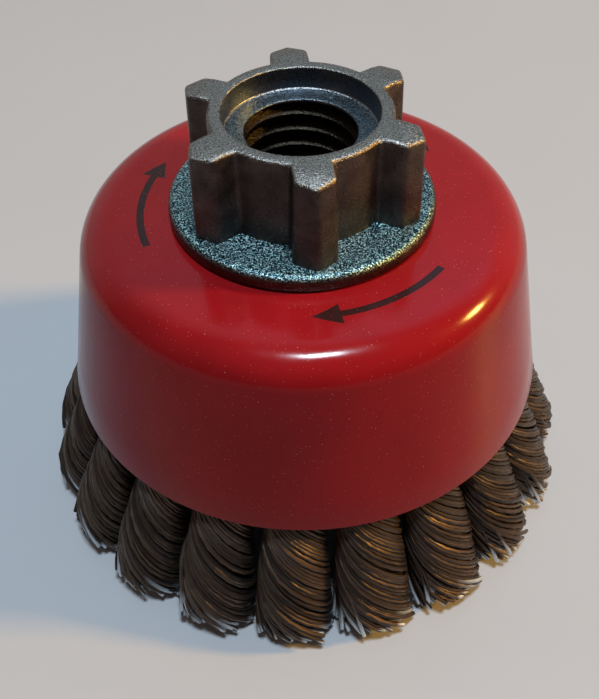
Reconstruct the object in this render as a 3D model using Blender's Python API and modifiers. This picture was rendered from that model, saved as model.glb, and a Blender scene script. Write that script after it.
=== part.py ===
"""Knotted wire cup brush for an angle grinder, in metres, +Z up.

The brush stands on its wire tips at Z = 0 with its turning axis on Z.
"""

import math

import bmesh
import bpy
from mathutils import Matrix, Vector

# Clearance kept between pieces that touch
FIT_GAP = 0.0003

# Cup, a pressed steel shell that flares towards its rim
TRIM_LENGTH = 0.0179
CUP_RIM_DIAMETER = 0.0586
CUP_DEPTH = 0.0218
CUP_SHEET = 0.0012
CUP_FLARE = math.radians(11.3)
CUP_SHOULDER_RADIUS = 0.0045

# Hub nut, with six wrench ribs, a flange and a spigot swaged under the stack
HUB_HEIGHT = 0.0120
HUB_BODY_DIAMETER = 0.0200
HUB_RIDGE_DIAMETER = 0.0275
HUB_DRAFT = math.radians(1.0)
RIB_COUNT = 6
RIB_WIDTH = 0.0046
RIB_TURN = math.radians(-84.4)
RIDGE_SLOPE = math.radians(30.0)
RIB_TOP_DIAMETER = 0.0222
RIB_TOP_SLOPE = math.radians(8.0)
FLANGE_DIAMETER = 0.0300
FLANGE_EDGE = 0.0016
FLANGE_RISE = 0.0004
FLANGE_ROUND = 0.0006
COUNTERBORE_DIAMETER = 0.0167
COUNTERBORE_DEPTH = 0.0026
THREAD_MINOR_DIAMETER = 0.0120
THREAD_PITCH = 0.0020
THREAD_DEPTH = 0.0010
THREAD_CREST = 0.0005
SPIGOT_DIAMETER = 0.0180
LIP_DIAMETER = 0.0214
LIP_THICKNESS = 0.0015

# Knot holder, a pressed dish whose skirt carries the knots on its lower edge
HOLDER_SHEET = 0.0015
SKIRT_DEPTH = 0.0145
SKIRT_CORNER = 0.0022
SKIRT_WEB = 0.0026
KNOT_HOLE_DIAMETER = 0.0044

# Retaining washer under the holder
WASHER_DIAMETER = 0.0300
WASHER_THICKNESS = 0.0020
WASHER_CHAMFER = 0.0004

# Wire knots, each hooked through its hole and twisted below the skirt
KNOT_COUNT = 20
KNOT_TURN = math.radians(14.4)
KNOT_LEG = 0.0016
LINK_WEB = 0.0004
THROAT_LENGTH = 0.0016
KNOT_GAP = 0.0006
TIP_SPREAD = 0.0055
TIP_PATCH_DEPTH = 0.0114
TIP_RISE = 0.0022
KNOT_TWIST = math.radians(150.0)
OUTER_STRANDS = 10
INNER_STRANDS = 5
STRAND_SPANS = 3

# Strands in a knot of unit radius: the size of each, and how far out the inner ones lie
OUTER_STRAND = 0.18
INNER_STRAND = 0.16
INNER_RING = 0.40

# Facets of round pieces
ROUND_STEPS = 60
HUB_STEPS = 40
HOLDER_STEPS = 40
THREAD_STEPS = 14
ARC_STEPS = 4
HOLE_SIDES = 8
THROAT_SIDES = 8
MERGE = 0.00001
OVERSHOOT = 0.001

# Heights of the stack, from the tips up and from the cup's top down
CUP_TOP = TRIM_LENGTH + CUP_DEPTH
FLANGE_BASE = CUP_TOP + FIT_GAP
HUB_TOP = FLANGE_BASE + HUB_HEIGHT
COUNTERBORE_SEAT = HUB_TOP - COUNTERBORE_DEPTH
HOLDER_TOP = CUP_TOP - CUP_SHEET - FIT_GAP
WASHER_TOP = HOLDER_TOP - HOLDER_SHEET - FIT_GAP
LIP_TOP = WASHER_TOP - WASHER_THICKNESS - FIT_GAP
HUB_BASE = LIP_TOP - LIP_THICKNESS
SKIRT_EDGE = HOLDER_TOP - SKIRT_DEPTH
HOLE_HEIGHT = SKIRT_EDGE + SKIRT_WEB + KNOT_HOLE_DIAMETER / 2
PIN_SIDE = (KNOT_HOLE_DIAMETER * math.cos(math.pi / HOLE_SIDES) - 2 * FIT_GAP) / math.sqrt(2)
EYE_TOP = HOLE_HEIGHT + PIN_SIDE / 2
LINK_BASE = SKIRT_EDGE - FIT_GAP
THROAT_TOP = LINK_BASE - LINK_WEB
THROAT_BASE = THROAT_TOP - THROAT_LENGTH


def cup_inner_radius(height):
    """Radius of the cup's inner wall on its straight stretch."""
    outer = CUP_RIM_DIAMETER / 2 - (height - TRIM_LENGTH) * math.tan(CUP_FLARE)
    return outer - CUP_SHEET / math.cos(CUP_FLARE)


# Radii that follow from the cup, the knots' legs and spread, and the spigot
SKIRT_OUTER = cup_inner_radius(EYE_TOP) - KNOT_LEG - 2 * FIT_GAP
SKIRT_INNER = SKIRT_OUTER - HOLDER_SHEET
SKIRT_MIDDLE = (SKIRT_OUTER + SKIRT_INNER) / 2
STACK_BORE = SPIGOT_DIAMETER / 2 + FIT_GAP
TIP_CENTRE = CUP_RIM_DIAMETER / 2 + TIP_SPREAD - TIP_PATCH_DEPTH / 2


def clear_scene():
    for thing in list(bpy.data.objects):
        bpy.data.objects.remove(thing, do_unlink=True)


def new_collection(name):
    collection = bpy.data.collections.new(name)
    bpy.context.scene.collection.children.link(collection)
    return collection


def new_material(name, colour, roughness, metallic):
    material = bpy.data.materials.new(name)
    material.use_nodes = True
    shader = material.node_tree.nodes["Principled BSDF"]
    shader.inputs["Base Color"].default_value = (*colour, 1.0)
    shader.inputs["Roughness"].default_value = roughness
    shader.inputs["Metallic"].default_value = metallic
    return material


def new_object(name, mesh, collection):
    thing = bpy.data.objects.new(name, mesh)
    collection.objects.link(thing)
    return thing


def make_guide(thing):
    """Marks a cutter or a building block that isn't a piece itself."""
    thing.hide_render = True
    thing.display_type = "WIRE"
    return thing


def shade_round(mesh):
    mesh.shade_smooth()
    mesh.set_sharp_from_angle(angle=math.radians(40.0))


def arc(centre, radius, start, end, steps):
    """Points on an arc in the turning plane, ends included."""
    points = []
    for step in range(steps + 1):
        angle = start + (end - start) * step / steps
        points.append((centre[0] + radius * math.cos(angle), centre[1] + radius * math.sin(angle)))
    return points


def turned(name, outline, collection, steps, closed=True):
    """Turns an outline of (radius, height) points about Z; it runs down its outer side."""
    points = [Vector((radius, 0.0, height)) for radius, height in outline]
    edges = [(index, index + 1) for index in range(len(points) - 1)]
    if closed:
        edges.append((len(points) - 1, 0))
    mesh = bpy.data.meshes.new(name)
    mesh.from_pydata(points, edges, [])
    thing = new_object(name, mesh, collection)
    screw = thing.modifiers.new("turn", "SCREW")
    screw.axis = "Z"
    screw.steps = steps
    screw.render_steps = steps
    screw.use_merge_vertices = True
    screw.merge_threshold = MERGE
    screw.use_smooth_shade = True
    return thing


def join_with(thing, other, operation):
    boolean = thing.modifiers.new(operation.lower(), "BOOLEAN")
    boolean.operation = operation
    boolean.solver = "EXACT"
    boolean.object = other


def evaluated_mesh(thing):
    """A welded mesh of an object with its modifiers, in its own frame."""
    graph = bpy.context.evaluated_depsgraph_get()
    mesh = bpy.data.meshes.new_from_object(thing.evaluated_get(graph))
    shape = bmesh.new()
    shape.from_mesh(mesh)
    bmesh.ops.remove_doubles(shape, verts=shape.verts, dist=MERGE)
    bmesh.ops.recalc_face_normals(shape, faces=shape.faces)
    shape.to_mesh(mesh)
    shape.free()
    return mesh


def flat_plate(name, outlines, thickness, collection):
    """A plate cut to one outline, with any further outlines as holes, about its middle plane."""
    curve = bpy.data.curves.new(name, "CURVE")
    curve.dimensions = "2D"
    curve.fill_mode = "BOTH"
    curve.extrude = thickness / 2
    for outline in outlines:
        spline = curve.splines.new("POLY")
        spline.points.add(len(outline) - 1)
        for point, (across, along) in zip(spline.points, outline):
            point.co = (across, along, 0.0, 1.0)
        spline.use_cyclic_u = True
    source = bpy.data.objects.new(name, curve)
    collection.objects.link(source)
    mesh = evaluated_mesh(source)
    bpy.data.objects.remove(source, do_unlink=True)
    return mesh


def cup_outline():
    """Section of the cup: flat top, round shoulder, flared wall, back along the inside."""
    rim = CUP_RIM_DIAMETER / 2
    shoulder_height = CUP_TOP - CUP_SHOULDER_RADIUS
    drop = (shoulder_height - TRIM_LENGTH) * math.sin(CUP_FLARE)
    shoulder = (rim - (CUP_SHOULDER_RADIUS + drop) / math.cos(CUP_FLARE), shoulder_height)
    outside = arc(shoulder, CUP_SHOULDER_RADIUS, math.pi / 2, CUP_FLARE, ARC_STEPS)
    inside = arc(shoulder, CUP_SHOULDER_RADIUS - CUP_SHEET, CUP_FLARE, math.pi / 2, ARC_STEPS)
    outline = [(STACK_BORE, CUP_TOP)] + outside + [(rim, TRIM_LENGTH)]
    outline += [(cup_inner_radius(TRIM_LENGTH), TRIM_LENGTH)] + inside
    outline.append((STACK_BORE, CUP_TOP - CUP_SHEET))
    return outline


def build_cup(pieces):
    return turned("cup", cup_outline(), pieces, ROUND_STEPS)


def rib_section():
    """Outline of the hub's head at the flange: a round body with a ridged rib at each corner."""
    body = HUB_BODY_DIAMETER / 2
    ridge = HUB_RIDGE_DIAMETER / 2
    half = RIB_WIDTH / 2
    root_angle = math.asin(half / body)
    side = ridge - half * math.tan(RIDGE_SLOPE)
    pitch = 2 * math.pi / RIB_COUNT
    outline = []
    for rib in range(RIB_COUNT):
        turn = RIB_TURN + rib * pitch
        along = Vector((math.cos(turn), math.sin(turn)))
        across = Vector((-along.y, along.x))
        for reach, offset in ((side, -half), (ridge, 0.0), (side, half)):
            outline.append(tuple(along * reach + across * offset))
        first = turn + root_angle
        outline += arc((0.0, 0.0), body, first, turn + pitch - root_angle, ARC_STEPS)
    return outline


def flange_outline():
    """Section of the flange, the spigot and the swaged lip, on the axis."""
    edge = FLANGE_DIAMETER / 2
    top = FLANGE_BASE + FLANGE_EDGE
    spigot = SPIGOT_DIAMETER / 2
    lip = LIP_DIAMETER / 2
    upper = arc((edge - FLANGE_ROUND, top - FLANGE_ROUND), FLANGE_ROUND, math.pi / 2, 0.0, ARC_STEPS)
    outline = [(0.0, top + FLANGE_RISE), (HUB_BODY_DIAMETER / 2, top + FLANGE_RISE)] + upper
    outline += [(edge, FLANGE_BASE), (spigot, FLANGE_BASE), (spigot, LIP_TOP)]
    outline += [(lip, LIP_TOP), (lip, HUB_BASE), (0.0, HUB_BASE)]
    return outline


def rib_top_outline():
    """Ring above the sloping rib tops, taken off the head."""
    start = RIB_TOP_DIAMETER / 2
    slope = math.tan(RIB_TOP_SLOPE)
    reach = HUB_RIDGE_DIAMETER / 2 + OVERSHOOT
    high = HUB_TOP + OVERSHOOT * slope
    low = HUB_TOP - (reach - start) * slope
    return [(start - OVERSHOOT, high), (reach, high), (reach, low)]


def counterbore_outline():
    radius = COUNTERBORE_DIAMETER / 2
    high = HUB_TOP + OVERSHOOT
    return [(0.0, high), (radius, high), (radius, COUNTERBORE_SEAT), (0.0, COUNTERBORE_SEAT)]


def thread_tap(guides):
    """The tapped hole as a solid: one thread pitch wound up the axis, its ends drawn to the axis."""
    minor = THREAD_MINOR_DIAMETER / 2
    root = THREAD_CREST + (THREAD_PITCH - THREAD_CREST) / 2
    start = HUB_BASE - 2 * THREAD_PITCH
    profile = [(minor, THREAD_PITCH), (minor + THREAD_DEPTH, root), (minor, THREAD_CREST), (minor, 0.0)]
    outline = [(radius, start + height) for radius, height in profile]
    source = turned("thread_source", outline, guides, THREAD_STEPS, closed=False)
    winding = source.modifiers["turn"]
    winding.screw_offset = THREAD_PITCH
    winding.iterations = math.ceil((COUNTERBORE_SEAT - start) / THREAD_PITCH) + 1
    mesh = evaluated_mesh(source)
    bpy.data.objects.remove(source, do_unlink=True)
    shape = bmesh.new()
    shape.from_mesh(mesh)
    middle = (HUB_BASE + COUNTERBORE_SEAT) / 2
    for below in (True, False):
        rim = [edge for edge in shape.edges if edge.is_boundary and (edge.verts[0].co.z < middle) == below]
        drawn = bmesh.ops.extrude_edge_only(shape, edges=rim)["geom"]
        ends = [part for part in drawn if isinstance(part, bmesh.types.BMVert)]
        height = sum(end.co.z for end in ends) / len(ends)
        bmesh.ops.pointmerge(shape, verts=ends, merge_co=(0.0, 0.0, height))
    bmesh.ops.recalc_face_normals(shape, faces=shape.faces)
    shape.to_mesh(mesh)
    shape.free()
    return make_guide(new_object("thread_tap", mesh, guides))


def build_hub(pieces, guides):
    head_base = FLANGE_BASE + FLANGE_EDGE / 2
    height = HUB_TOP - head_base
    taper = 1.0 - height * math.tan(HUB_DRAFT) / (HUB_RIDGE_DIAMETER / 2)
    mesh = flat_plate("hub_nut", [rib_section()], height, guides)
    for vertex in mesh.vertices:
        if vertex.co.z > 0.0:
            vertex.co.x *= taper
            vertex.co.y *= taper
    mesh.transform(Matrix.Translation((0.0, 0.0, head_base + height / 2)))
    hub = new_object("hub_nut", mesh, pieces)
    flange = make_guide(turned("flange_and_spigot", flange_outline(), guides, HUB_STEPS, closed=False))
    slope = make_guide(turned("rib_top_slope", rib_top_outline(), guides, HUB_STEPS))
    recess = counterbore_outline()
    counterbore = make_guide(turned("counterbore", recess, guides, HUB_STEPS, closed=False))
    join_with(hub, slope, "DIFFERENCE")
    join_with(hub, flange, "UNION")
    join_with(hub, counterbore, "DIFFERENCE")
    join_with(hub, thread_tap(guides), "DIFFERENCE")
    return hub


def holder_outline():
    """Section of the holder: a flat disc with a round corner and a straight skirt."""
    corner = (SKIRT_OUTER - SKIRT_CORNER, HOLDER_TOP - SKIRT_CORNER)
    inner_corner = SKIRT_CORNER - HOLDER_SHEET
    outline = [(STACK_BORE, HOLDER_TOP)]
    outline += arc(corner, SKIRT_CORNER, math.pi / 2, 0.0, ARC_STEPS)
    outline += [(SKIRT_OUTER, SKIRT_EDGE), (SKIRT_INNER, SKIRT_EDGE)]
    outline += arc(corner, inner_corner, 0.0, math.pi / 2, ARC_STEPS)
    outline.append((STACK_BORE, HOLDER_TOP - HOLDER_SHEET))
    return outline


def build_holder(pieces, guides):
    holder = turned("knot_holder", holder_outline(), pieces, HOLDER_STEPS)
    shape = bmesh.new()
    for knot in range(KNOT_COUNT):
        place = Matrix.Rotation(KNOT_TURN + knot * 2 * math.pi / KNOT_COUNT, 4, "Z")
        place @= Matrix.Translation((SKIRT_MIDDLE, 0.0, HOLE_HEIGHT))
        place @= Matrix.Rotation(math.pi / 2, 4, "Y")
        bmesh.ops.create_cone(shape, cap_ends=True, segments=HOLE_SIDES, matrix=place,
                              radius1=KNOT_HOLE_DIAMETER / 2, radius2=KNOT_HOLE_DIAMETER / 2,
                              depth=HOLDER_SHEET + 2 * OVERSHOOT)
    mesh = bpy.data.meshes.new("knot_holes")
    shape.to_mesh(mesh)
    shape.free()
    join_with(holder, make_guide(new_object("knot_holes", mesh, guides)), "DIFFERENCE")
    return holder


def build_washer(pieces):
    outer = WASHER_DIAMETER / 2
    base = WASHER_TOP - WASHER_THICKNESS
    outline = [(STACK_BORE, WASHER_TOP), (outer - WASHER_CHAMFER, WASHER_TOP)]
    outline += [(outer, WASHER_TOP - WASHER_CHAMFER), (outer, base + WASHER_CHAMFER)]
    outline += [(outer - WASHER_CHAMFER, base), (STACK_BORE, base)]
    return turned("retaining_washer", outline, pieces, HUB_STEPS)


def eye_mesh(guides):
    """Folded top of a knot: a link through the hole and round the skirt's lower edge."""
    inside = SKIRT_INNER - FIT_GAP
    outside = SKIRT_OUTER + FIT_GAP
    left = inside - KNOT_LEG
    right = outside + KNOT_LEG
    base = (THROAT_TOP + THROAT_BASE) / 2
    pin_base = HOLE_HEIGHT - PIN_SIDE / 2
    link = [(left, base), (right, base), (right, EYE_TOP), (left, EYE_TOP)]
    slot = [(inside, LINK_BASE), (outside, LINK_BASE), (outside, pin_base), (inside, pin_base)]
    mesh = flat_plate("knot_link", [link, slot], PIN_SIDE, guides)
    mesh.transform(Matrix.Rotation(math.pi / 2, 4, "X"))
    return mesh


def knot_radius(centre):
    """Room for a knot between its neighbours at a given distance from the axis."""
    return centre * math.sin(math.pi / KNOT_COUNT) - KNOT_GAP / 2


def strand_places():
    """Distance from the knot's middle, size and bearing of each strand in a knot of unit radius."""
    places = []
    for count, ring, size in ((OUTER_STRANDS, 1.0 - OUTER_STRAND, OUTER_STRAND),
                              (INNER_STRANDS, INNER_RING, INNER_STRAND)):
        for index in range(count):
            places.append((ring, size, 2 * math.pi * index / count))
    return places


def knot_section(level):
    """Middle, depth and width of a knot, at a level from 0 at the throat to 1 at the tips.

    The knot leans out most where it leaves the cup, and stands up straighter below.
    """
    centre = SKIRT_MIDDLE + (TIP_CENTRE - SKIRT_MIDDLE) * math.sin(level * math.pi / 2)
    width = knot_radius(centre)
    if level == 0.0:
        width = width * math.cos(math.pi / THROAT_SIDES) - FIT_GAP / 2
    depth = TIP_PATCH_DEPTH / 2 if level == 1.0 else width
    return centre, depth, width


def section_point(place, side, level):
    """A corner of a three-sided strand; the brush stands on the inner tips, and the outer ones end higher."""
    ring, size, bearing = place
    corner = bearing + side * 2 * math.pi / 3
    across = ring * math.cos(bearing) + size * math.cos(corner)
    along = ring * math.sin(bearing) + size * math.sin(corner)
    turn = KNOT_TWIST * level
    radial = across * math.cos(turn) - along * math.sin(turn)
    tangent = across * math.sin(turn) + along * math.cos(turn)
    centre, depth, width = knot_section(level)
    tip = TIP_RISE * max(0.0, radial)
    return Vector((centre + depth * radial, width * tangent, tip + (THROAT_BASE - tip) * (1.0 - level)))


def add_strand(shape, place):
    """Adds one strand, open at its top, and gives the edges of that opening."""
    rows = []
    for span in range(STRAND_SPANS + 1):
        level = span / STRAND_SPANS
        rows.append([shape.verts.new(section_point(place, side, level)) for side in range(3)])
    shape.faces.new(rows[-1])
    for upper, lower in zip(rows, rows[1:]):
        for side in range(3):
            after = (side + 1) % 3
            shape.faces.new((upper[side], upper[after], lower[after], lower[side]))
    return [shape.edges.get((rows[0][side], rows[0][(side + 1) % 3])) for side in range(3)]


def twist_mesh():
    """The bound throat with its strands, twisted together as one bundle so that none cross."""
    radius = knot_radius(SKIRT_MIDDLE)
    place = Matrix.Translation((SKIRT_MIDDLE, 0.0, (THROAT_TOP + THROAT_BASE) / 2))
    shape = bmesh.new()
    bmesh.ops.create_cone(shape, cap_ends=True, segments=THROAT_SIDES, matrix=place,
                          radius1=radius, radius2=radius, depth=THROAT_LENGTH)
    shape.normal_update()
    base = min(shape.faces, key=lambda face: face.normal.z)
    openings = list(base.edges)
    bmesh.ops.delete(shape, geom=[base], context="FACES_ONLY")
    for strand in strand_places():
        openings += add_strand(shape, strand)
    bmesh.ops.triangle_fill(shape, use_beauty=True, edges=openings)
    bmesh.ops.recalc_face_normals(shape, faces=shape.faces)
    mesh = bpy.data.meshes.new("knot_twist")
    shape.to_mesh(mesh)
    shape.free()
    return mesh


def knot_mesh(guides):
    """One knot at bearing 0: the folded link and the twist below it as one body."""
    link = make_guide(new_object("knot_link", eye_mesh(guides), guides))
    twist = make_guide(new_object("knot_twist", twist_mesh(), guides))
    join_with(twist, link, "UNION")
    return evaluated_mesh(twist)


def build_knots(pieces, guides):
    mesh = knot_mesh(guides)
    knots = []
    for index in range(KNOT_COUNT):
        knot = new_object(f"wire_knot_{index + 1:02d}", mesh, pieces)
        knot.rotation_euler.z = KNOT_TURN + index * 2 * math.pi / KNOT_COUNT
        knots.append(knot)
    shade_round(mesh)
    return knots


def main():
    clear_scene()
    pieces = new_collection("knotted_cup_brush")
    guides = new_collection("knotted_cup_brush_guides")
    enamel = new_material("red_enamel", (0.36, 0.012, 0.016), 0.22, 0.0)
    blasted = new_material("blasted_steel", (0.30, 0.29, 0.27), 0.50, 1.0)
    plated = new_material("plated_steel", (0.42, 0.41, 0.38), 0.40, 1.0)
    wire = new_material("drawn_wire", (0.14, 0.105, 0.075), 0.42, 1.0)

    cup = build_cup(pieces)
    hub = build_hub(pieces, guides)
    holder = build_holder(pieces, guides)
    washer = build_washer(pieces)
    knots = build_knots(pieces, guides)

    finishes = [(cup, enamel), (hub, blasted), (holder, plated), (washer, plated)]
    finishes += [(knot, wire) for knot in knots]
    axis = bpy.data.objects.new("turning_axis", None)
    pieces.objects.link(axis)
    for piece, finish in finishes:
        if not piece.data.materials:
            piece.data.materials.append(finish)
        piece.parent = axis


main()
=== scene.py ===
"""Looks of a knotted wire cup brush: red cup, blasted hub nut and twenty twisted wire knots."""

import math
import random

import bmesh
import bpy
from mathutils import Matrix, Vector


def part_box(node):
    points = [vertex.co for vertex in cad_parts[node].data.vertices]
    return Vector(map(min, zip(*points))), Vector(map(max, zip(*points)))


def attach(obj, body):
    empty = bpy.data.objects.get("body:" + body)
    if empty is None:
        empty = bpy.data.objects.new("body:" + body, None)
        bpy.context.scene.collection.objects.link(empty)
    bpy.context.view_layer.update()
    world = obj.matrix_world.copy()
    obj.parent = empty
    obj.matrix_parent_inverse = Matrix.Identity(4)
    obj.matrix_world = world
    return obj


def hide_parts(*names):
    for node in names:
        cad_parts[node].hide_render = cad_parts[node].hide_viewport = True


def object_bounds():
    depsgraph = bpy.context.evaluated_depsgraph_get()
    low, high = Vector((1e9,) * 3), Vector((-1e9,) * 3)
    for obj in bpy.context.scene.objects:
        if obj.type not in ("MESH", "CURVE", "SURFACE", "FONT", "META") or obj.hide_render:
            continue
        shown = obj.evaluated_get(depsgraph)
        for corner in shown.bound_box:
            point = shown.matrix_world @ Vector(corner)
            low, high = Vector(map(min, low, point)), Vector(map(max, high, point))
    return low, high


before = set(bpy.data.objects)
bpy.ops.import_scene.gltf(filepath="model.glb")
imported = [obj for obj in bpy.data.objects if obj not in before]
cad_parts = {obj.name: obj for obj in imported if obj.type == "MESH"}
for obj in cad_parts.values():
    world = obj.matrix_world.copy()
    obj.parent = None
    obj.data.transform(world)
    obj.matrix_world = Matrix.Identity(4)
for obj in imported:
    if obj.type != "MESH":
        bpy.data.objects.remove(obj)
cad_low, cad_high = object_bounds()

MM = 0.001
SNAP = 0.01 * MM

# Boxes of the solids that the pieces stand for
CUP_LOW, CUP_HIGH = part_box("cup")
HUB_LOW, HUB_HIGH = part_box("hub_nut")
HOLDER_LOW, HOLDER_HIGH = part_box("knot_holder")
WASHER_LOW, WASHER_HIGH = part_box("retaining_washer")
KNOT_NODES = sorted(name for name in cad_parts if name.startswith("wire_knot"))

# Cup, a pressed shell that flares towards its rim
CUP_SEGMENTS = 144
CUP_RIM_RADIUS = CUP_HIGH.x
CUP_RIM_HEIGHT = CUP_LOW.z
CUP_TOP = CUP_HIGH.z
CUP_SHEET = 1.2 * MM
CUP_FLARE = math.radians(11.3)
CUP_SHOULDER = 4.5 * MM
CUP_HOLE_RADIUS = 9.3 * MM
CUP_FLAT_RADIUS = 15.5 * MM
CUP_RIM_ROUND = 0.14 * MM
CUP_ARC_STEPS = 14
CUP_WALL_RINGS = 4

# Hub nut with six wrench ribs
HUB_SEGMENTS = 78
RIB_COUNT = 6
RIB_FACES = 6
RIB_PITCH = math.tau / RIB_COUNT
RIB_TURN = math.radians(-84.4)
RIB_HALF_ANGLE = RIB_FACES * math.pi / HUB_SEGMENTS
RIB_RIDGE_RADIUS = 13.95 * MM
RIB_BREAK_RADIUS = 11.15 * MM
RIDGE_SLOPE = math.radians(30.0)
RIB_TOP_SLOPE = math.radians(7.0)
RIB_TOP_NARROWING = 0.90
RIB_ROUND = 0.42 * MM
RIB_ROUND_STEPS = 3
RIB_SHARP_ANGLE = math.radians(22.0)
BODY_RADIUS = 10.0 * MM
BODY_DRAFT = 0.986
FLANGE_RADIUS = HUB_HIGH.x
FLANGE_BASE = CUP_TOP + 0.1 * MM
FLANGE_ROOT = CUP_TOP + 2.2 * MM
FLANGE_SLOPE = 0.05
FLANGE_ROUND = 0.8 * MM
FLANGE_ARC_STEPS = 8
FLANGE_APRON = 0.2 * MM
FLANGE_CHAMFER_HEIGHT = 0.3 * MM
FLANGE_CHAMFER_WIDTH = 0.2 * MM
HUB_TOP = HUB_HIGH.z
HUB_BASE = HUB_LOW.z
COUNTERBORE_RADIUS = 8.35 * MM
COUNTERBORE_SEAT = HUB_TOP - 2.6 * MM
BORE_RADIUS = 6.0 * MM
BORE_EASE = 0.25 * MM
THREAD_PITCH = 2.0 * MM
THREAD_MAJOR_RADIUS = 7.05 * MM
THREAD_RUNOUT = 0.62 * MM
TAP_RADIUS = 5.8 * MM
TAP_CREST = 0.25 * MM
TAP_STEPS = 60
TAP_LEAD = 2.2
SPIGOT_RADIUS = 9.0 * MM
LIP_RADIUS = 10.7 * MM
LIP_TOP = WASHER_LOW.z - 0.3 * MM
LIP_CHAMFER_HEIGHT = 0.4 * MM
LIP_CHAMFER_WIDTH = 0.5 * MM

# Knot holder, a dish whose skirt has a hole for each knot, and the washer under it
HOLDER_SEGMENTS = 120
HOLDER_SHEET = 1.5 * MM
SKIRT_CORNER = 2.2 * MM
HOLDER_BORE = 9.3 * MM
KNOT_HOLE_RADIUS = 2.2 * MM
KNOT_HOLE_HEIGHT = HOLDER_LOW.z + 4.8 * MM
KNOT_HOLE_SIDES = 20
WASHER_BORE = 9.3 * MM
WASHER_CHAMFER = 0.4 * MM

# Wire knots, each twisted about a line that leans out from the skirt to the tips
KNOT_COUNT = len(KNOT_NODES)
KNOT_TURN = math.radians(14.4)
KNOT_PATTERNS = 5
WIRE_RADIUS = 0.25 * MM
WIRE_SIDES = 6
KNOT_TOP = 22.6 * MM
KNOT_ROOT_RADIUS = 22.74 * MM
KNOT_TIP_RADIUS = 29.5 * MM
KNOT_ROOT_WIDTH = 2.4 * MM
KNOT_TIP_WIDTH = 4.25 * MM
KNOT_TIP_DEPTH = 5.15 * MM
KNOT_TWIST = math.radians(390.0)
TIP_RISE = 2.0 * MM
KNOT_REACH = cad_high.x - 1.2 * WIRE_RADIUS
FRAY_LEVEL = 0.78
STRAY_LEVEL = 0.74
STRAY_COUNT = 4
STRAY_TURN = 0.25
STRAY_SIDE = (-125.0, -45.0)
STRAY_REACH = (1.0, 1.05)
STRAY_START = 0.4
STRAY_STEPS = 14
STRAY_WEAR = (0.8, 1.0)
HOOK_LANES = 2
HOOK_LAYERS = 2
HOOK_LANE_WIDTH = 0.52 * MM
HOOK_LAYER_STEP = 0.5 * MM
HOOK_CLEARANCE = 0.65 * MM
HOOK_DROP = 0.2 * MM
HOOK_END = 1.0 * MM
HOOK_STEPS = 6
TURN_SCATTER = 0.22
WIRE_DRIFT = 0.07
TIP_SCATTER = 0.35
FRAY_OUT = (0.2, 0.40)
FRAY_SIDE = (0.0, 0.50)
REACH_RANGE = (0.975, 1.015)
WORN_LENGTH = 6.0 * MM

# Wires of a knot, layer by layer: their count, reach, first level and steps
KNOT_LAYERS = [(40, 1.0, 0.0, 18), (32, 0.86, 0.0, 16), (22, 0.68, 0.5, 8),
               (14, 0.48, 0.6, 6), (7, 0.22, 0.6, 5)]

# Camera fitted to the photograph, which is 599 by 699 pixels
IMAGE_HEIGHT = 699
CAMERA_PLACE = Vector((-0.662, -83.687, 104.052)) * MM
CAMERA_PITCH = 0.81279
CAMERA_ROLL = -0.0218
CAMERA_FOCAL_PIXELS = 919.2
CAMERA_SENSOR = 36.0


def deselect_all():
    """Clear the selection, which operators would otherwise act on."""
    if bpy.context.object and bpy.context.object.mode != "OBJECT":
        bpy.ops.object.mode_set(mode="OBJECT")
    bpy.ops.object.select_all(action="DESELECT")


def make_active(piece):
    """Select one piece alone."""
    deselect_all()
    piece.select_set(True)
    bpy.context.view_layer.objects.active = piece


def choose_vertices(piece, wanted):
    """In edit mode, select the vertices that pass a test and what lies between them."""
    bpy.ops.mesh.select_mode(type="VERT")
    shape = bmesh.from_edit_mesh(piece.data)
    for vertex in shape.verts:
        vertex.select_set(wanted(vertex))
    shape.select_flush(True)
    shape.select_flush(False)
    bmesh.update_edit_mesh(piece.data)


def choose_faces(piece, wanted):
    """In edit mode, select only the faces that pass a test."""
    bpy.ops.mesh.select_mode(type="FACE")
    bpy.ops.mesh.select_all(action="DESELECT")
    shape = bmesh.from_edit_mesh(piece.data)
    for face in shape.faces:
        face.select_set(wanted(face))
    bmesh.update_edit_mesh(piece.data)


def choose_edges(piece, wanted):
    """In edit mode, select only the edges that pass a test."""
    bpy.ops.mesh.select_mode(type="EDGE")
    bpy.ops.mesh.select_all(action="DESELECT")
    shape = bmesh.from_edit_mesh(piece.data)
    for edge in shape.edges:
        edge.select_set(wanted(edge))
    bmesh.update_edit_mesh(piece.data)


def move_selected(piece, place):
    """In edit mode, put each selected vertex where a function of its place says."""
    shape = bmesh.from_edit_mesh(piece.data)
    for vertex in shape.verts:
        if vertex.select:
            vertex.co = place(vertex.co)
    bmesh.update_edit_mesh(piece.data)


def on_ring(place, radius, height):
    """The point at a radius and a height on a point's own side of the axis."""
    return (place.xy.normalized() * radius).to_3d() + Vector((0.0, 0.0, height))


def draw_ring(piece, radius, height):
    """Extrude the selected ring and set it to a radius and a height."""
    bpy.ops.mesh.extrude_region_move()
    move_selected(piece, lambda place: on_ring(place, radius, height))


def arc(centre, radius, start, end, steps):
    """Points of an arc in the plane of radius and height, both ends included."""
    points = []
    for step in range(steps + 1):
        angle = start + (end - start) * step / steps
        points.append((centre[0] + radius * math.cos(angle), centre[1] + radius * math.sin(angle)))
    return points


def turned(name, outline, segments):
    """Turn a closed outline of radius and height about Z, ring by ring from a circle."""
    deselect_all()
    radius, height = outline[0]
    bpy.ops.mesh.primitive_circle_add(vertices=segments, radius=radius, location=(0.0, 0.0, height))
    piece = bpy.context.object
    piece.name = name
    bpy.ops.object.transform_apply(location=True, rotation=True, scale=True)
    bpy.ops.object.mode_set(mode="EDIT")
    bpy.ops.mesh.select_all(action="SELECT")
    for radius, height in outline[1:] + outline[:1]:
        draw_ring(piece, radius, height)
    close_mesh(piece)
    return piece


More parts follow.
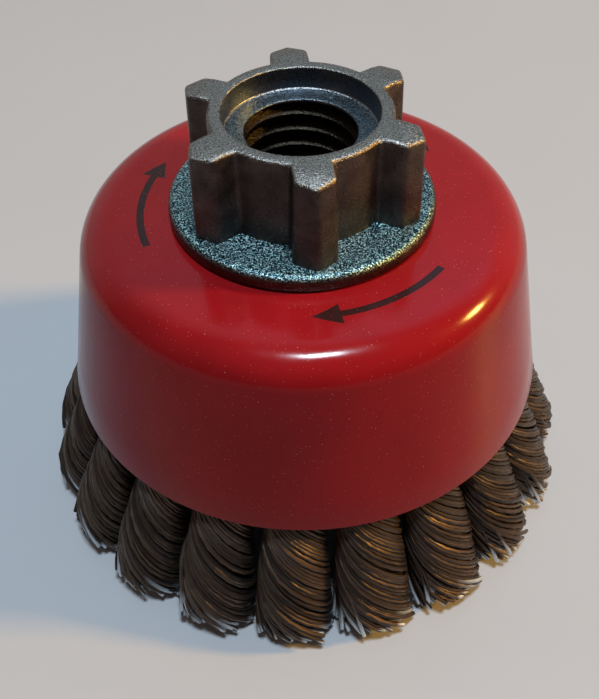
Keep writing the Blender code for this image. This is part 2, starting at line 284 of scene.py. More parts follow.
def close_mesh(piece):
    """In edit mode, merge doubles and turn the faces out, then leave edit mode."""
    bpy.ops.mesh.select_all(action="SELECT")
    bpy.ops.mesh.remove_doubles(threshold=0.1 * SNAP)
    bpy.ops.mesh.normals_make_consistent(inside=False)
    bpy.ops.object.mode_set(mode="OBJECT")


def shade(piece, angle=35.0):
    """Shade a piece smooth, apart from edges sharper than an angle in degrees."""
    make_active(piece)
    bpy.ops.object.shade_smooth_by_angle(angle=math.radians(angle))


def dress(piece, material, slot, *nodes):
    """Give a piece its finish, hang it from the root body and hide the solids it stands for."""
    piece.data.name = piece.name
    piece.data.materials.clear()
    piece.data.materials.append(material)
    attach(piece, "root")
    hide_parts(*nodes)


def cut_away(piece, cutter):
    """Take a cutter out of a piece and remove the cutter."""
    make_active(piece)
    cut = piece.modifiers.new("cut", "BOOLEAN")
    cut.operation = "DIFFERENCE"
    cut.solver = "EXACT"
    cut.object = cutter
    bpy.ops.object.modifier_apply(modifier=cut.name)
    bpy.data.objects.remove(cutter)


# Cup


def cup_wall_radius(height):
    """Radius of the cup's outer wall on its straight stretch."""
    return CUP_RIM_RADIUS - (height - CUP_RIM_HEIGHT) * math.tan(CUP_FLARE)


def shoulder_centre():
    """Centre of the shoulder's arc, which meets the flat top and the flared wall."""
    height = CUP_TOP - CUP_SHOULDER
    touch = height + CUP_SHOULDER * math.sin(CUP_FLARE)
    return cup_wall_radius(touch) - CUP_SHOULDER * math.cos(CUP_FLARE), height


def build_cup():
    """The pressed cup: flat top, rounded shoulder, flared wall and a trimmed rim."""
    centre = shoulder_centre()
    upright = math.pi / 2
    outline = [(CUP_HOLE_RADIUS, CUP_TOP), (CUP_FLAT_RADIUS, CUP_TOP)]
    outline += arc(centre, CUP_SHOULDER, upright, CUP_FLARE, CUP_ARC_STEPS)
    wall_top = outline[-1][1]
    rim_height = CUP_RIM_HEIGHT + CUP_RIM_ROUND
    for ring in range(1, CUP_WALL_RINGS):
        height = wall_top + (rim_height - wall_top) * ring / CUP_WALL_RINGS
        outline.append((cup_wall_radius(height), height))
    outer = (CUP_RIM_RADIUS - CUP_RIM_ROUND, rim_height)
    inner = (CUP_RIM_RADIUS - CUP_SHEET + CUP_RIM_ROUND, rim_height)
    outline += arc(outer, CUP_RIM_ROUND, CUP_FLARE, -upright, 4)
    outline += arc(inner, CUP_RIM_ROUND, -upright, CUP_FLARE - math.pi, 4)
    outline += arc(centre, CUP_SHOULDER - CUP_SHEET, CUP_FLARE, upright, CUP_ARC_STEPS)
    outline.append((CUP_HOLE_RADIUS, CUP_TOP - CUP_SHEET))
    cup = turned("red_cup", outline, CUP_SEGMENTS)
    shade(cup)
    return cup


# Hub nut


def rib_axes(azimuth):
    """Directions along a rib, away from the axis, and across it."""
    toward = Vector((math.cos(azimuth), math.sin(azimuth), 0.0))
    return toward, Vector((-toward.y, toward.x, 0.0))


def rib_place(place):
    """Directions of the nearest rib, and a point's distance along it and across it."""
    step = round((math.atan2(place.y, place.x) - RIB_TURN) / RIB_PITCH)
    toward, across = rib_axes(RIB_TURN + step * RIB_PITCH)
    return toward, across, place.dot(toward), place.dot(across)


def push_front(hub, azimuth, reach, slope):
    """Extrude the selected faces along a rib, to a front that falls back from its middle."""
    toward, across = rib_axes(azimuth)
    bpy.ops.mesh.extrude_region_move(TRANSFORM_OT_translate={"value": toward * MM})

    def front(place):
        distance = reach - abs(place.dot(across)) * math.tan(slope)
        return place + toward * (distance - place.dot(toward))

    move_selected(hub, front)


def extrude_rib(hub, azimuth):
    """Draw one wrench rib out of the barrel and give its front the ridge of a nut's corner."""
    toward, _ = rib_axes(azimuth)
    limit = math.cos(RIB_HALF_ANGLE)
    choose_faces(hub, lambda face: face.calc_center_median().xy.normalized().dot(toward.xy) > limit)
    push_front(hub, azimuth, RIB_BREAK_RADIUS, 0.0)
    push_front(hub, azimuth, RIB_RIDGE_RADIUS, RIDGE_SLOPE)


def shape_rib_tops(hub):
    """Draw the top in for the forging draft, narrow the ribs there and slope their outer ends."""
    half = BODY_RADIUS * math.sin(RIB_HALF_ANGLE) + SNAP

    def top_place(place):
        toward, across, along, aside = rib_place(place)
        drop = 0.0
        if abs(aside) < half:
            on_body = along < BODY_RADIUS + SNAP
            aside *= RIB_TOP_NARROWING
            along = math.sqrt(BODY_RADIUS ** 2 - aside ** 2) if on_body else along
            drop = max(0.0, along - RIB_BREAK_RADIUS) * math.tan(RIB_TOP_SLOPE)
        flat = (toward * along + across * aside) * BODY_DRAFT
        return Vector((flat.x, flat.y, HUB_TOP - drop))

    choose_vertices(hub, lambda vertex: vertex.co.z > HUB_TOP - SNAP)
    move_selected(hub, top_place)


def bore_hub(hub):
    """From the barrel's top edge, draw the top ring, the counterbore and the plain bore."""
    top_radius = BODY_RADIUS * BODY_DRAFT
    ease = BORE_EASE
    choose_vertices(hub, lambda vertex: vertex.co.z > HUB_TOP - SNAP
                    and vertex.co.xy.length < top_radius + SNAP)
    rings = [(COUNTERBORE_RADIUS + 3 * ease, HUB_TOP)]
    rings += arc((COUNTERBORE_RADIUS + ease, HUB_TOP - ease), ease, math.pi / 2, math.pi, 4)
    rings += arc((COUNTERBORE_RADIUS - ease, COUNTERBORE_SEAT + ease), ease, 0.0, -math.pi / 2, 4)
    rings += [(BORE_RADIUS + 3 * ease, COUNTERBORE_SEAT)]
    rings += arc((BORE_RADIUS + ease, COUNTERBORE_SEAT - ease), ease, math.pi / 2, math.pi, 3)
    rings.append((BORE_RADIUS, HUB_BASE))
    for radius, height in rings:
        draw_ring(hub, radius, height)


def flange_hub(hub):
    """From the barrel's foot, draw the flange, the spigot and its swaged lip."""
    def at_foot(height):
        return abs(height - FLANGE_ROOT) < SNAP

    def flange_height(radius):
        return FLANGE_ROOT - (radius - BODY_RADIUS) * FLANGE_SLOPE

    choose_faces(hub, lambda face: all(at_foot(vertex.co.z) for vertex in face.verts))
    bpy.ops.mesh.delete(type="FACE")
    choose_vertices(hub, lambda vertex: at_foot(vertex.co.z) and vertex.is_boundary)
    move_selected(hub, lambda place: Vector((place.x, place.y, flange_height(place.xy.length))))
    flat_end = FLANGE_RADIUS - FLANGE_ROUND
    apron = RIB_RIDGE_RADIUS + FLANGE_APRON
    rings = [(apron, flange_height(apron))]
    centre = (flat_end, flange_height(flat_end) - FLANGE_ROUND)
    rings += arc(centre, FLANGE_ROUND, math.pi / 2, 0.0, FLANGE_ARC_STEPS)
    rings.append((FLANGE_RADIUS, FLANGE_BASE + FLANGE_CHAMFER_HEIGHT))
    rings.append((FLANGE_RADIUS - FLANGE_CHAMFER_WIDTH, FLANGE_BASE))
    rings += [(SPIGOT_RADIUS, FLANGE_BASE), (SPIGOT_RADIUS, LIP_TOP), (LIP_RADIUS, LIP_TOP)]
    rings += [(LIP_RADIUS, HUB_BASE + LIP_CHAMFER_HEIGHT), (LIP_RADIUS - LIP_CHAMFER_WIDTH, HUB_BASE)]
    for radius, height in rings:
        draw_ring(hub, radius, height)
    choose_edges(hub, lambda edge: edge.is_boundary)
    bpy.ops.mesh.bridge_edge_loops()


def round_ribs(hub):
    """Round the edges of the ribs and of the top."""
    inner = COUNTERBORE_RADIUS + 4 * BORE_EASE
    outer = RIB_RIDGE_RADIUS + 0.1 * MM
    foot = FLANGE_ROOT - 0.5 * MM

    def on_ribs(place):
        return place.z > foot and inner < place.xy.length < outer

    def at_foot(edge):
        return all(vertex.co.z < FLANGE_ROOT + SNAP for vertex in edge.verts)

    def on_break(place):
        _, _, along, _ = rib_place(place)
        return abs(along - RIB_BREAK_RADIUS * BODY_DRAFT) < SNAP and place.z > HUB_TOP - SNAP

    def to_round(edge):
        if not edge.is_manifold or at_foot(edge):
            return False
        if not all(on_ribs(vertex.co) for vertex in edge.verts):
            return False
        return edge.calc_face_angle() > RIB_SHARP_ANGLE or all(on_break(vertex.co) for vertex in edge.verts)

    choose_edges(hub, to_round)
    bpy.ops.mesh.bevel(offset=RIB_ROUND, segments=RIB_ROUND_STEPS, affect="EDGES", clamp_overlap=True)


def thread_tap():
    """A tap for the spindle thread: one pitch of its groove wound by the Screw modifier."""
    deselect_all()
    bpy.ops.mesh.primitive_circle_add(vertices=4, radius=MM)
    tap = bpy.context.object
    base = HUB_BASE - TAP_LEAD * THREAD_PITCH
    turns = math.floor((COUNTERBORE_SEAT - base) / THREAD_PITCH)
    root = (THREAD_PITCH + TAP_CREST) / 2
    groove = [(TAP_RADIUS, THREAD_PITCH), (THREAD_MAJOR_RADIUS, root)]
    groove += [(TAP_RADIUS, TAP_CREST), (TAP_RADIUS, 0.0)]
    for vertex, (radius, height) in zip(tap.data.vertices, groove):
        vertex.co = (0.0, -radius, base + height)
    bpy.ops.object.mode_set(mode="EDIT")
    choose_edges(tap, lambda edge: abs(edge.verts[0].co.z - edge.verts[1].co.z) > THREAD_PITCH - SNAP)
    bpy.ops.mesh.delete(type="EDGE_FACE")
    bpy.ops.object.mode_set(mode="OBJECT")
    winding = tap.modifiers.new("winding", "SCREW")
    winding.axis = "Z"
    winding.screw_offset = THREAD_PITCH
    winding.iterations = turns
    winding.steps = TAP_STEPS
    winding.render_steps = TAP_STEPS
    winding.use_merge_vertices = True
    winding.merge_threshold = SNAP
    bpy.ops.object.modifier_apply(modifier=winding.name)
    bpy.ops.object.mode_set(mode="EDIT")
    bpy.ops.mesh.select_all(action="SELECT")
    bpy.ops.mesh.remove_doubles(threshold=SNAP)
    choose_vertices(tap, lambda vertex: vertex.co.z > COUNTERBORE_SEAT - THREAD_RUNOUT)
    move_selected(tap, lambda place: on_ring(place, TAP_RADIUS, place.z))
    middle = (HUB_BASE + COUNTERBORE_SEAT) / 2
    for side in (-1.0, 1.0):
        choose_edges(tap, lambda edge: edge.is_boundary and (edge.verts[0].co.z - middle) * side > 0.0)
        bpy.ops.mesh.extrude_edges_move()
        bpy.ops.mesh.merge(type="CENTER")
    close_mesh(tap)
    return tap


def build_hub():
    """The forged hub nut, from a barrel with its ribs, bore and flange drawn out of it."""
    deselect_all()
    depth = HUB_TOP - FLANGE_ROOT
    turn = RIB_TURN - math.pi / 2
    bpy.ops.mesh.primitive_cylinder_add(vertices=HUB_SEGMENTS, radius=BODY_RADIUS, depth=depth,
                                        end_fill_type="NOTHING", rotation=(0.0, 0.0, turn),
                                        location=(0.0, 0.0, FLANGE_ROOT + depth / 2))
    hub = bpy.context.object
    hub.name = "ribbed_hub"
    bpy.ops.object.transform_apply(location=True, rotation=True, scale=True)
    bpy.ops.object.mode_set(mode="EDIT")
    for rib in range(RIB_COUNT):
        extrude_rib(hub, RIB_TURN + rib * RIB_PITCH)
    shape_rib_tops(hub)
    bore_hub(hub)
    flange_hub(hub)
    round_ribs(hub)
    close_mesh(hub)
    cut_away(hub, thread_tap())
    shade(hub)
    return hub


# Knot holder and washer


def build_holder():
    """The dish that carries the knots, with a round hole for each in its skirt."""
    outer = HOLDER_HIGH.x
    inner = outer - HOLDER_SHEET
    top = HOLDER_HIGH.z
    outline = [(HOLDER_BORE, top)]
    corner = (outer - SKIRT_CORNER, top - SKIRT_CORNER)
    outline += arc(corner, SKIRT_CORNER, math.pi / 2, 0.0, 6)
    outline += [(outer, HOLDER_LOW.z), (inner, HOLDER_LOW.z)]
    outline += arc(corner, SKIRT_CORNER - HOLDER_SHEET, 0.0, math.pi / 2, 4)
    outline.append((HOLDER_BORE, top - HOLDER_SHEET))
    holder = turned("knot_dish", outline, HOLDER_SEGMENTS)
    for knot in range(KNOT_COUNT):
        azimuth = KNOT_TURN + knot * math.tau / KNOT_COUNT
        place = Matrix.Rotation(azimuth, 4, "Z") @ Vector((outer, 0.0, KNOT_HOLE_HEIGHT))
        deselect_all()
        bpy.ops.mesh.primitive_cylinder_add(vertices=KNOT_HOLE_SIDES, radius=KNOT_HOLE_RADIUS,
                                            depth=4 * HOLDER_SHEET, location=place,
                                            rotation=(0.0, math.pi / 2, azimuth))
        cut_away(holder, bpy.context.object)
    shade(holder)
    return holder


def build_washer():
    """The retaining washer, chamfered on its lower edge."""
    outer = WASHER_HIGH.x
    low = WASHER_LOW.z
    outline = [(WASHER_BORE, WASHER_HIGH.z), (outer, WASHER_HIGH.z), (outer, low + WASHER_CHAMFER)]
    outline += [(outer - WASHER_CHAMFER, low), (WASHER_BORE, low)]
    washer = turned("stack_washer", outline, HOLDER_SEGMENTS)
    shade(washer)
    return washer


# Wire knots


def between(first, last, share):
    """The value at a share of the way from first to last."""
    return first + (last - first) * share


def knot_axis(level):
    """Distance of a knot's middle from the brush's axis, from its root (0) to its tips (1)."""
    return between(KNOT_ROOT_RADIUS, KNOT_TIP_RADIUS, math.sin(level * math.pi / 2))


def knot_twist(level):
    """Turn of the wires about the knot, tight at the root and slacker towards the tips."""
    return KNOT_TWIST * level * (1.3 - 0.3 * level)


def wire_route(dice, reach, turn, start, steps, held):
    """Points of one wire of a knot that lies along +X: a left-hand helix that frays at its tip.

    A held wire stops turning at the stray level and runs straight down from there.
    """
    drift = dice.uniform(-WIRE_DRIFT, WIRE_DRIFT)
    tip_height = WIRE_RADIUS + abs(dice.gauss(0.0, TIP_SCATTER)) * MM
    tip_turn = turn + drift + knot_twist(between(STRAY_LEVEL, 1.0, STRAY_TURN) if held else 1.0)
    tip_height += TIP_RISE * max(0.0, reach * math.cos(tip_turn))
    fray_out = dice.gauss(*FRAY_OUT) * MM
    fray_side = dice.gauss(*FRAY_SIDE) * MM
    reach *= dice.uniform(*REACH_RANGE)
    route = []
    for step in range(steps + 1):
        level = between(start, 1.0, step / steps)
        fray = max(0.0, (level - FRAY_LEVEL) / (1.0 - FRAY_LEVEL)) ** 2
        wound = min(level, STRAY_LEVEL + STRAY_TURN * (level - STRAY_LEVEL)) if held else level
        angle = turn + knot_twist(wound) + drift * level
        depth = between(KNOT_ROOT_WIDTH, KNOT_TIP_DEPTH, level ** 1.3)
        width = between(KNOT_ROOT_WIDTH, KNOT_TIP_WIDTH, math.sin(level * math.pi / 2))
        middle = knot_axis(level)
        out = middle + reach * depth * math.cos(angle) + fray_out * fray
        side = reach * width * math.sin(angle) * out / middle + fray_side * fray
        height = between(KNOT_TOP, tip_height, level)
        shrink = min(1.0, KNOT_REACH / math.hypot(out, side))
        route.append((out * shrink, side * shrink, height))
    return route


def hook_route(lane, layer):
    """Points of one wire of the loop that hooks a knot through its hole in the skirt."""
    middle = HOLDER_HIGH.x - HOLDER_SHEET / 2
    half = HOLDER_SHEET / 2 + HOOK_CLEARANCE + HOOK_LAYER_STEP * layer
    crown = KNOT_HOLE_HEIGHT - HOOK_DROP + HOOK_LAYER_STEP * layer
    side = lane * HOOK_LANE_WIDTH
    route = [(middle + half, side, KNOT_TOP - HOOK_END), (middle + half, side, crown - half)]
    for step in range(1, HOOK_STEPS):
        angle = math.pi * step / HOOK_STEPS
        route.append((middle + half * math.cos(angle), side, crown - half + half * math.sin(angle)))
    route += [(middle - half, side, crown - half), (middle - half, side, KNOT_TOP - HOOK_END)]
    return route


def knot_wires(dice):
    """All the wires of one knot, each with its route, its tone and the wear of its tip."""
    wires = []
    for count, reach, start, steps in KNOT_LAYERS:
        for index in range(count):
            turn = math.tau * (index + dice.uniform(-TURN_SCATTER, TURN_SCATTER)) / count
            route = wire_route(dice, reach, turn, start, steps, False)
            wires.append((route, dice.random(), dice.random() ** 3))
    for _ in range(STRAY_COUNT):
        turn = math.radians(dice.uniform(*STRAY_SIDE)) - knot_twist(STRAY_LEVEL)
        route = wire_route(dice, dice.uniform(*STRAY_REACH), turn, STRAY_START, STRAY_STEPS, True)
        wires.append((route, dice.random(), dice.uniform(*STRAY_WEAR)))
    for layer in range(HOOK_LAYERS):
        for lane in range(-HOOK_LANES, HOOK_LANES + 1):
            wires.append((hook_route(lane, layer), dice.random(), 0.0))
    return wires


def knot_pattern(seed):
    """A mesh of one knot along +X, drawn as bevelled curves."""
    wires = knot_wires(random.Random(seed))
    deselect_all()
    bpy.ops.curve.primitive_nurbs_path_add()
    knot = bpy.context.object
    curve = knot.data
    curve.splines.clear()
    curve.bevel_depth = WIRE_RADIUS
    curve.bevel_resolution = 1
    curve.use_fill_caps = True
    for route, _, _ in wires:
        spline = curve.splines.new("POLY")
        spline.points.add(len(route) - 1)
        for point, place in zip(spline.points, route):
            point.co = (*place, 1.0)
        spline.use_smooth = True
    bpy.ops.object.convert(target="MESH")
    knot = bpy.context.object
    mark_wires(knot.data, wires)
    bpy.ops.object.mode_set(mode="EDIT")
    close_mesh(knot)
    shade(knot, 50.0)
    return knot


def mark_wires(mesh, wires):
    """Store a tone for each wire and a wear that grows towards its tip.

    The converted mesh holds the end caps first, last wire to first, and then the wires in turn.
    """
    tones = []
    wears = []
    for _, tone, _ in reversed(wires):
        tones += [tone] * 2 * WIRE_SIDES
        wears += [1.0] * WIRE_SIDES + [0.0] * WIRE_SIDES
    for route, tone, wear in wires:
        for _, _, height in route:
            near_tip = max(0.0, 1.0 - (height - route[-1][2]) / WORN_LENGTH)
            tones += [tone] * WIRE_SIDES
            wears += [near_tip * wear] * WIRE_SIDES
    for name, values in (("wire_tone", tones), ("tip_wear", wears)):
        attribute = mesh.attributes.new(name, "FLOAT", "POINT")
        attribute.data.foreach_set("value", values)


def build_knots(material):
    """Twenty knots round the brush, copied in turn from a few patterns."""
    patterns = [knot_pattern(seed) for seed in range(1, KNOT_PATTERNS + 1)]
    for number, node in enumerate(KNOT_NODES):
        make_active(patterns[number % KNOT_PATTERNS])
        bpy.ops.object.duplicate(linked=False)
        knot = bpy.context.object
        knot.name = node.replace("wire_knot", "twisted_knot")
        knot.rotation_euler = (0.0, 0.0, KNOT_TURN + number * math.tau / KNOT_COUNT)
        bpy.ops.object.transform_apply(location=True, rotation=True, scale=True)
        dress(knot, material, "knot_wire", node)
    for pattern in patterns:
        bpy.data.objects.remove(pattern)


# Finishes


def new_finish(name, metallic):
    """A new material with its node tree and its shader."""
    material = bpy.data.materials.new(name)
    material.use_nodes = True
    shader = material.node_tree.nodes["Principled BSDF"]
    shader.inputs["Metallic"].default_value = metallic
    return material, material.node_tree, shader


def feed(tree, socket, value):
    """Link an output to a socket, or set the socket to a plain value."""
    if isinstance(value, bpy.types.NodeSocket):
        tree.links.new(value, socket)
    else:
        socket.default_value = value


def compute(tree, operation, first, second=0.0, third=0.0):
    """A Math node."""
    node = tree.nodes.new("ShaderNodeMath")
    node.operation = operation
    for socket, value in zip(node.inputs, (first, second, third)):
        feed(tree, socket, value)
    return node.outputs["Value"]


def ramp(tree, value, low, high, start=0.0, end=1.0):
    """A value carried from one range to another, held at its ends."""
    node = tree.nodes.new("ShaderNodeMapRange")
    for name, setting in (("Value", value), ("From Min", low), ("From Max", high),
                          ("To Min", start), ("To Max", end)):
        feed(tree, node.inputs[name], setting)
    return node.outputs["Result"]


def blend_colours(tree, share, first, second):
    """A mix of two colours."""
    node = tree.nodes.new("ShaderNodeMix")
    node.data_type = "RGBA"
    feed(tree, node.inputs["Factor"], share)
    for name, value in (("A", first), ("B", second)):
        colour = next(entry for entry in node.inputs if entry.name == name and entry.type == "RGBA")
        feed(tree, colour, value if isinstance(value, bpy.types.NodeSocket) else (*value, 1.0))
    return next(entry for entry in node.outputs if entry.type == "RGBA")


def object_place(tree):
    """The place on the piece in its own frame."""
    return tree.nodes.new("ShaderNodeTexCoord").outputs["Object"]


def noise(tree, place, size, detail=2.0, rough=0.5):
    """Noise whose features have about a given size."""
    node = tree.nodes.new("ShaderNodeTexNoise")
    feed(tree, node.inputs["Vector"], place)
    node.inputs["Scale"].default_value = 1.0 / size
    node.inputs["Detail"].default_value = detail
    node.inputs["Roughness"].default_value = rough
    return node.outputs["Fac"]


def specks(tree, place, spacing, radius, kept):
    """Round specks of a given radius, in a share of the cells of a random grid."""
    node = tree.nodes.new("ShaderNodeTexVoronoi")
    feed(tree, node.inputs["Vector"], place)
    node.inputs["Scale"].default_value = 1.0 / spacing
    chance = tree.nodes.new("ShaderNodeSeparateColor")
    tree.links.new(node.outputs["Color"], chance.inputs["Color"])
    spot = ramp(tree, node.outputs["Distance"], 0.6 * radius / spacing, radius / spacing, 1.0, 0.0)
    return compute(tree, "MULTIPLY", spot, compute(tree, "LESS_THAN", chance.outputs["Red"], kept))


def roughen(tree, shader, height, depth, strength=1.0):
    """Bump the surface by a height in a unit range, of a depth in metres."""
    node = tree.nodes.new("ShaderNodeBump")
    node.inputs["Strength"].default_value = strength
    node.inputs["Distance"].default_value = depth
    feed(tree, node.inputs["Height"], height)
    tree.links.new(node.outputs["Normal"], shader.inputs["Normal"])


def polar(tree, place):
    """Distance from the Z axis, azimuth and height."""
    split = tree.nodes.new("ShaderNodeSeparateXYZ")
    tree.links.new(place, split.inputs["Vector"])
    x, y, z = split.outputs
    square = compute(tree, "ADD", compute(tree, "MULTIPLY", x, x), compute(tree, "MULTIPLY", y, y))
    return compute(tree, "SQRT", square), compute(tree, "ARCTAN2", y, x), z


def spin_arrows(tree, place):
    """Three plain arrows printed round the cup's top, which show the way that it spins."""
    ring = 18.3 * MM
    length = 13.0 * MM
    head = 3.0 * MM
    half_width = 0.42 * MM
    head_flare = 0.48
    first_tail = math.radians(-38.0)
    radius, azimuth, height = polar(tree, place)
    turn = compute(tree, "SUBTRACT", first_tail, azimuth)
    sector = compute(tree, "FLOORED_MODULO", turn, math.tau / 3)
    along = compute(tree, "MULTIPLY", sector, ring)
    off = compute(tree, "ABSOLUTE", compute(tree, "SUBTRACT", radius, ring))
    left = compute(tree, "SUBTRACT", length + head, along)
    shaft = compute(tree, "MULTIPLY", compute(tree, "LESS_THAN", off, half_width),
                    compute(tree, "LESS_THAN", along, length))
    flare = compute(tree, "MULTIPLY", left, head_flare)
    point = compute(tree, "MULTIPLY", compute(tree, "LESS_THAN", off, flare),
                    compute(tree, "GREATER_THAN", along, length - SNAP))
    arrow = compute(tree, "MAXIMUM", shaft, point)
    return compute(tree, "MULTIPLY", arrow, compute(tree, "GREATER_THAN", height, CUP_TOP - 0.5 * MM))


def red_enamel():
    """Stoved enamel with painted shade: a darker red on the wall than on the top, and duller there; fine
    dust, slight peel, black print.
    """
    material, tree, shader = new_finish("red_enamel", 0.0)
    coordinates = tree.nodes.new("ShaderNodeTexCoord")
    place = coordinates.outputs["Object"]
    split = tree.nodes.new("ShaderNodeSeparateXYZ")
    tree.links.new(coordinates.outputs["Normal"], split.inputs["Vector"])
    clouds = ramp(tree, noise(tree, place, 9 * MM, 3.0), 0.35, 0.65)
    # Painted shade: the wall is given a darker red than the top, blended by the way the surface faces.
    shaded_wall_red = blend_colours(tree, clouds, (0.192, 0.0040, 0.0062), (0.220, 0.0049, 0.0075))
    top = blend_colours(tree, clouds, (0.265, 0.0065, 0.0095), (0.305, 0.008, 0.0115))
    upward = ramp(tree, split.outputs["Z"], 0.25, 0.70)
    red = blend_colours(tree, upward, shaded_wall_red, top)
    wear = noise(tree, place, 0.25 * MM, 2.0)
    ink = compute(tree, "MULTIPLY", spin_arrows(tree, place), ramp(tree, wear, 0.22, 0.34, 0.35, 0.93))
    red = blend_colours(tree, ink, red, (0.012, 0.010, 0.010))
    dust = specks(tree, place, 1.0 * MM, 0.065 * MM, 0.40)
    fine = specks(tree, place, 0.42 * MM, 0.045 * MM, 0.60)
    powder = compute(tree, "MAXIMUM", dust, fine)
    red = blend_colours(tree, compute(tree, "MULTIPLY", powder, 0.42), red, (0.62, 0.40, 0.28))
    tree.links.new(red, shader.inputs["Base Color"])
    smear = noise(tree, place, 4 * MM, 4.0, 0.6)
    gloss = ramp(tree, smear, 0.3, 0.75, 0.11, 0.20)
    tree.links.new(compute(tree, "MULTIPLY_ADD", powder, 0.3, gloss), shader.inputs["Roughness"])
    tree.links.new(ramp(tree, upward, 0.0, 1.0, 0.14, 0.33), shader.inputs["Specular IOR Level"])
    peel = noise(tree, place, 1.6 * MM, 1.0)
    roughen(tree, shader, compute(tree, "MULTIPLY_ADD", powder, 0.25, peel), 0.02 * MM, 0.35)
    return material


def blasted_steel():
    """Blasted, plated forging: sparkling grain, painted blue glints, painted shade on the browner walls,
    seat and smooth turned bore.
    """
    material, tree, shader = new_finish("blasted_steel", 1.0)
    coordinates = tree.nodes.new("ShaderNodeTexCoord")
    place = coordinates.outputs["Object"]
    split = tree.nodes.new("ShaderNodeSeparateXYZ")
    tree.links.new(coordinates.outputs["Normal"], split.inputs["Vector"])
    upward = ramp(tree, split.outputs["Z"], 0.25, 0.9)
    radius, _, height = polar(tree, place)
    bored = compute(tree, "MULTIPLY", compute(tree, "LESS_THAN", radius, COUNTERBORE_RADIUS + 0.02 * MM),
                    compute(tree, "SUBTRACT", 1.0, upward))
    grain = noise(tree, place, 0.18 * MM, 2.0, 0.6)
    patches = noise(tree, place, 2.6 * MM, 3.0)
    # Painted shade: the walls are coloured darker and browner than the tops, blended by the way the surface
    # faces.
    shaded_walls = blend_colours(tree, ramp(tree, patches, 0.3, 0.7), (0.042, 0.031, 0.031), (0.098, 0.078, 0.072))
    tops = blend_colours(tree, ramp(tree, grain, 0.35, 0.68), (0.15, 0.145, 0.135), (0.47, 0.46, 0.43))
    # Painted reflection: on the flange the grain is coloured from dark blue to bright pale blue, glints of
    # a blue light painted in.
    bright = blend_colours(tree, ramp(tree, grain, 0.49, 0.64), (0.010, 0.045, 0.070), (0.66, 1.0, 1.0))
    tops = blend_colours(tree, compute(tree, "LESS_THAN", height, FLANGE_ROOT + MM), tops, bright)
    # Painted shade: the sunk counterbore seat is coloured darker than the top ring, tinted blue as painted
    # reflection.
    shaded_blue_seat = blend_colours(tree, ramp(tree, grain, 0.40, 0.70), (0.06, 0.085, 0.105), (0.28, 0.34, 0.38))
    sunk = compute(tree, "LESS_THAN", radius, COUNTERBORE_RADIUS - 0.2 * MM)
    tops = blend_colours(tree, sunk, tops, shaded_blue_seat)
    steel = blend_colours(tree, upward, shaded_walls, tops)
    steel = blend_colours(tree, bored, steel, (0.18, 0.21, 0.27))
    # Painted shade: inside the spigot's radius below the counterbore seat, mostly the threaded bore, the
    # steel is coloured near black.
    shaded_bore = compute(tree, "MULTIPLY", compute(tree, "LESS_THAN", radius, SPIGOT_RADIUS),
                    compute(tree, "LESS_THAN", height, COUNTERBORE_SEAT - 0.3 * MM))
    tree.links.new(blend_colours(tree, shaded_bore, steel, (0.034, 0.028, 0.022)), shader.inputs["Base Color"])
    rough = ramp(tree, grain, 0.3, 0.7, 0.22, 0.40)
    tree.links.new(rough, shader.inputs["Roughness"])
    depth = compute(tree, "SUBTRACT", 1.0, compute(tree, "MULTIPLY", bored, 0.85))
    roughen(tree, shader, compute(tree, "MULTIPLY", grain, depth), 0.12 * MM, 0.9)
    return material


def plated_sheet():
    """Zinc-plated sheet with faint drawing marks round it and dull spots."""
    material, tree, shader = new_finish("plated_sheet", 1.0)
    place = object_place(tree)
    spots = noise(tree, place, 1.8 * MM, 4.0, 0.6)
    zinc = blend_colours(tree, ramp(tree, spots, 0.35, 0.7), (0.36, 0.345, 0.31), (0.55, 0.54, 0.51))
    tree.links.new(zinc, shader.inputs["Base Color"])
    tree.links.new(ramp(tree, spots, 0.3, 0.7, 0.28, 0.5), shader.inputs["Roughness"])
    roughen(tree, shader, noise(tree, place, 0.12 * MM, 1.0), 0.02 * MM, 0.4)
    return material


def spring_wire():
    """Oiled spring wire: brown with a little tone from wire to wire and bright cut tips."""
    material, tree, shader = new_finish("spring_wire", 0.7)
    tone = tree.nodes.new("ShaderNodeAttribute")
    tone.attribute_name = "wire_tone"
    wear = tree.nodes.new("ShaderNodeAttribute")
    wear.attribute_name = "tip_wear"
    place = object_place(tree)
    film = noise(tree, place, 0.9 * MM, 3.0)
    brown = blend_colours(tree, tone.outputs["Fac"], (0.034, 0.024, 0.020), (0.110, 0.074, 0.053))
    brown = blend_colours(tree, ramp(tree, film, 0.35, 0.75, 0.0, 0.55), brown, (0.030, 0.025, 0.023))
    bright = ramp(tree, wear.outputs["Fac"], 0.4, 0.8)
    tree.links.new(blend_colours(tree, bright, brown, (0.55, 0.63, 0.70)), shader.inputs["Base Color"])
    tree.links.new(ramp(tree, film, 0.3, 0.7, 0.36, 0.52), shader.inputs["Roughness"])
    roughen(tree, shader, noise(tree, place, 0.1 * MM, 1.0), 0.01 * MM, 0.3)
    return material


def pale_table():
    """Pale laminate with a soft gloss and faint cloudiness."""
    material, tree, shader = new_finish("pale_table", 0.0)
    place = object_place(tree)
    clouds = noise(tree, place, 40 * MM, 3.0)
    pale = blend_colours(tree, clouds, (0.47, 0.485, 0.51), (0.49, 0.51, 0.54))
    tree.links.new(pale, shader.inputs["Base Color"])
    smear = noise(tree, place, 3 * MM, 4.0)
    tree.links.new(ramp(tree, smear, 0.3, 0.7, 0.38, 0.48), shader.inputs["Roughness"])
    return material


# Stage


def aim(thing, target):
    """Turn a lamp to look at a point."""
    thing.rotation_euler = (Vector(target) - thing.location).to_track_quat("-Z", "Y").to_euler()


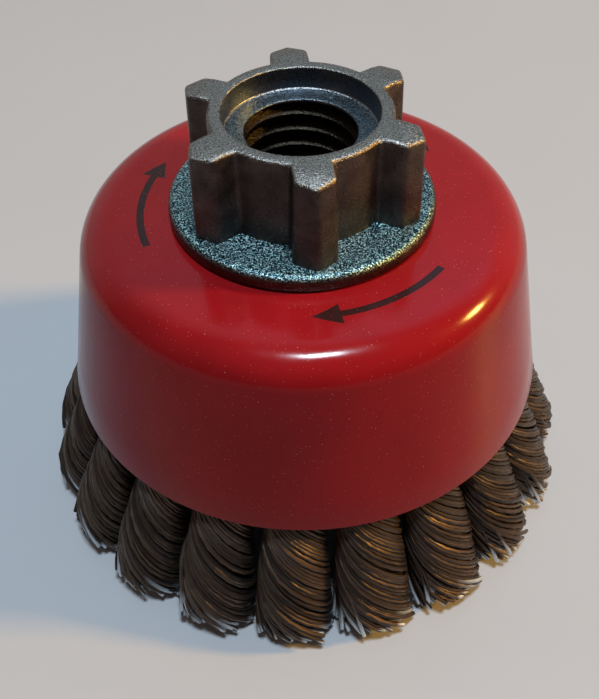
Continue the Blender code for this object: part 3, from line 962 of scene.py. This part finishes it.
def add_lamp(name, azimuth, elevation, distance, size, level, colour):
    """A soft lamp in a direction from the brush, of a given level where it falls squarely."""
    middle = Vector((0.0, 0.0, 25 * MM))
    flat = math.cos(math.radians(elevation))
    way = Vector((math.cos(math.radians(azimuth)) * flat, math.sin(math.radians(azimuth)) * flat,
                  math.sin(math.radians(elevation))))
    deselect_all()
    bpy.ops.object.light_add(type="AREA", location=middle + way * distance)
    lamp = bpy.context.object
    lamp.name = name
    lamp.data.shape = "RECTANGLE"
    lamp.data.size, lamp.data.size_y = size
    lamp.data.energy = level * (math.pi * distance) ** 2
    lamp.data.color = colour
    aim(lamp, middle)


def build_floor(material):
    """A plain pale table top."""
    deselect_all()
    bpy.ops.mesh.primitive_plane_add(size=4.0)
    floor = bpy.context.object
    floor.name = "table_top"
    floor.data.materials.append(material)


def add_camera():
    """The photograph's view."""
    deselect_all()
    bpy.ops.object.camera_add(location=CAMERA_PLACE)
    camera = bpy.context.object
    camera.rotation_mode = "ZYX"
    camera.rotation_euler = (math.pi / 2 - CAMERA_PITCH, 0.0, CAMERA_ROLL)
    camera.data.sensor_width = CAMERA_SENSOR
    camera.data.lens = CAMERA_FOCAL_PIXELS / IMAGE_HEIGHT * CAMERA_SENSOR
    camera.data.clip_start = 0.005
    bpy.context.scene.camera = camera


def light_world():
    """A dim surround, pale at the back and blue high up there, mostly to the right."""
    world = bpy.data.worlds.new("surround")
    bpy.context.scene.world = world
    world.use_nodes = True
    tree = world.node_tree
    split = tree.nodes.new("ShaderNodeSeparateXYZ")
    tree.links.new(tree.nodes.new("ShaderNodeTexCoord").outputs["Generated"], split.inputs["Vector"])
    across, behind, above = split.outputs
    room = blend_colours(tree, ramp(tree, behind, 0.1, 0.5), (0.105, 0.070, 0.050), (0.34, 0.335, 0.33))
    window = compute(tree, "MULTIPLY", ramp(tree, behind, 0.2, 0.5), ramp(tree, above, 0.60, 0.70))
    window = compute(tree, "MULTIPLY", window, ramp(tree, across, -0.3, 0.3, 0.25, 1.0))
    sky = blend_colours(tree, window, room, (0.26, 0.58, 0.82))
    tree.links.new(sky, tree.nodes["Background"].inputs["Color"])
    tree.nodes["Background"].inputs["Strength"].default_value = 1.0


cup = build_cup()
dress(cup, red_enamel(), "cup_enamel", "cup")
hub = build_hub()
dress(hub, blasted_steel(), "hub_steel", "hub_nut")
sheet_metal = plated_sheet()
dress(build_holder(), sheet_metal, "plated_sheet", "knot_holder")
dress(build_washer(), sheet_metal, "plated_sheet", "retaining_washer")
build_knots(spring_wire())
build_floor(pale_table())

add_lamp("ceiling_lamp", azimuth=-68.0, elevation=79.0, distance=0.9, size=(0.18, 0.12),
         level=0.80, colour=(0.74, 0.88, 1.0))
add_lamp("warm_lamp", azimuth=0.5, elevation=27.5, distance=1.6, size=(0.18, 0.15),
         level=0.90, colour=(1.0, 0.53, 0.11))
light_world()
add_camera()

bpy.context.scene.view_settings.view_transform = "Standard"
